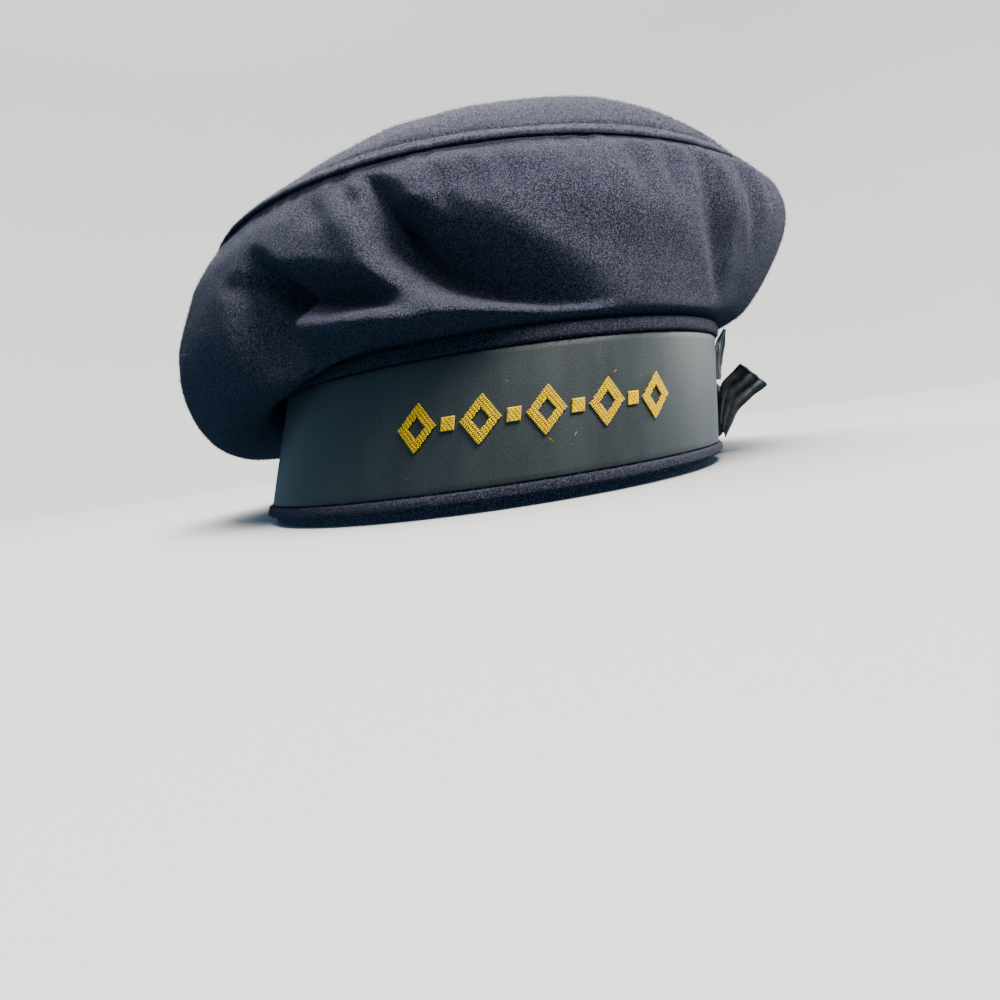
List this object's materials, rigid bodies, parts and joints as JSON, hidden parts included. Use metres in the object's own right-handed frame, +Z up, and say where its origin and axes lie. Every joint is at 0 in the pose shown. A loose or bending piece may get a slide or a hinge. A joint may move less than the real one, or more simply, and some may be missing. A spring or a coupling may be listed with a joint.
{
  "type": "sailor cap",
  "caption": "Soft round flat cap of dark navy wool on an upright band, slumped at the front, with a black silk ribbon, gold figures and a bow.",
  "frame": {"origin": "middle of the cap's outline at the foot of its band, on the plane it rests on", "axes": "+Z up out of the crown, -Y the wearer's front, +X the wearer's left"},
  "size_m": [0.2608, 0.2743, 0.1376],
  "materials": {
    "melton": "matte fulled wool with a short nap",
    "ribbon_silk": "black woven silk with a soft grey sheen",
    "gold_thread": "gold woven thread"
  },
  "bodies": {
    "root": {"crown_top": "melton", "crown_side": "melton", "crown_edge_welt": "melton", "upper_welt": "melton", "headband": "melton", "lower_welt": "melton", "ribbon": "ribbon_silk", "bow_knot": "ribbon_silk", "bow_pleat_up": "ribbon_silk", "bow_loop_back": "ribbon_silk", "bow_tail_front": "ribbon_silk", "bow_tail_back": "ribbon_silk", "ribbon_lozenge_1": "gold_thread", "ribbon_lozenge_2": "gold_thread", "ribbon_lozenge_3": "gold_thread", "ribbon_lozenge_4": "gold_thread", "ribbon_lozenge_5": "gold_thread", "ribbon_square_1": "gold_thread", "ribbon_square_2": "gold_thread", "ribbon_square_3": "gold_thread", "ribbon_square_4": "gold_thread"}
  },
  "joints": []
}
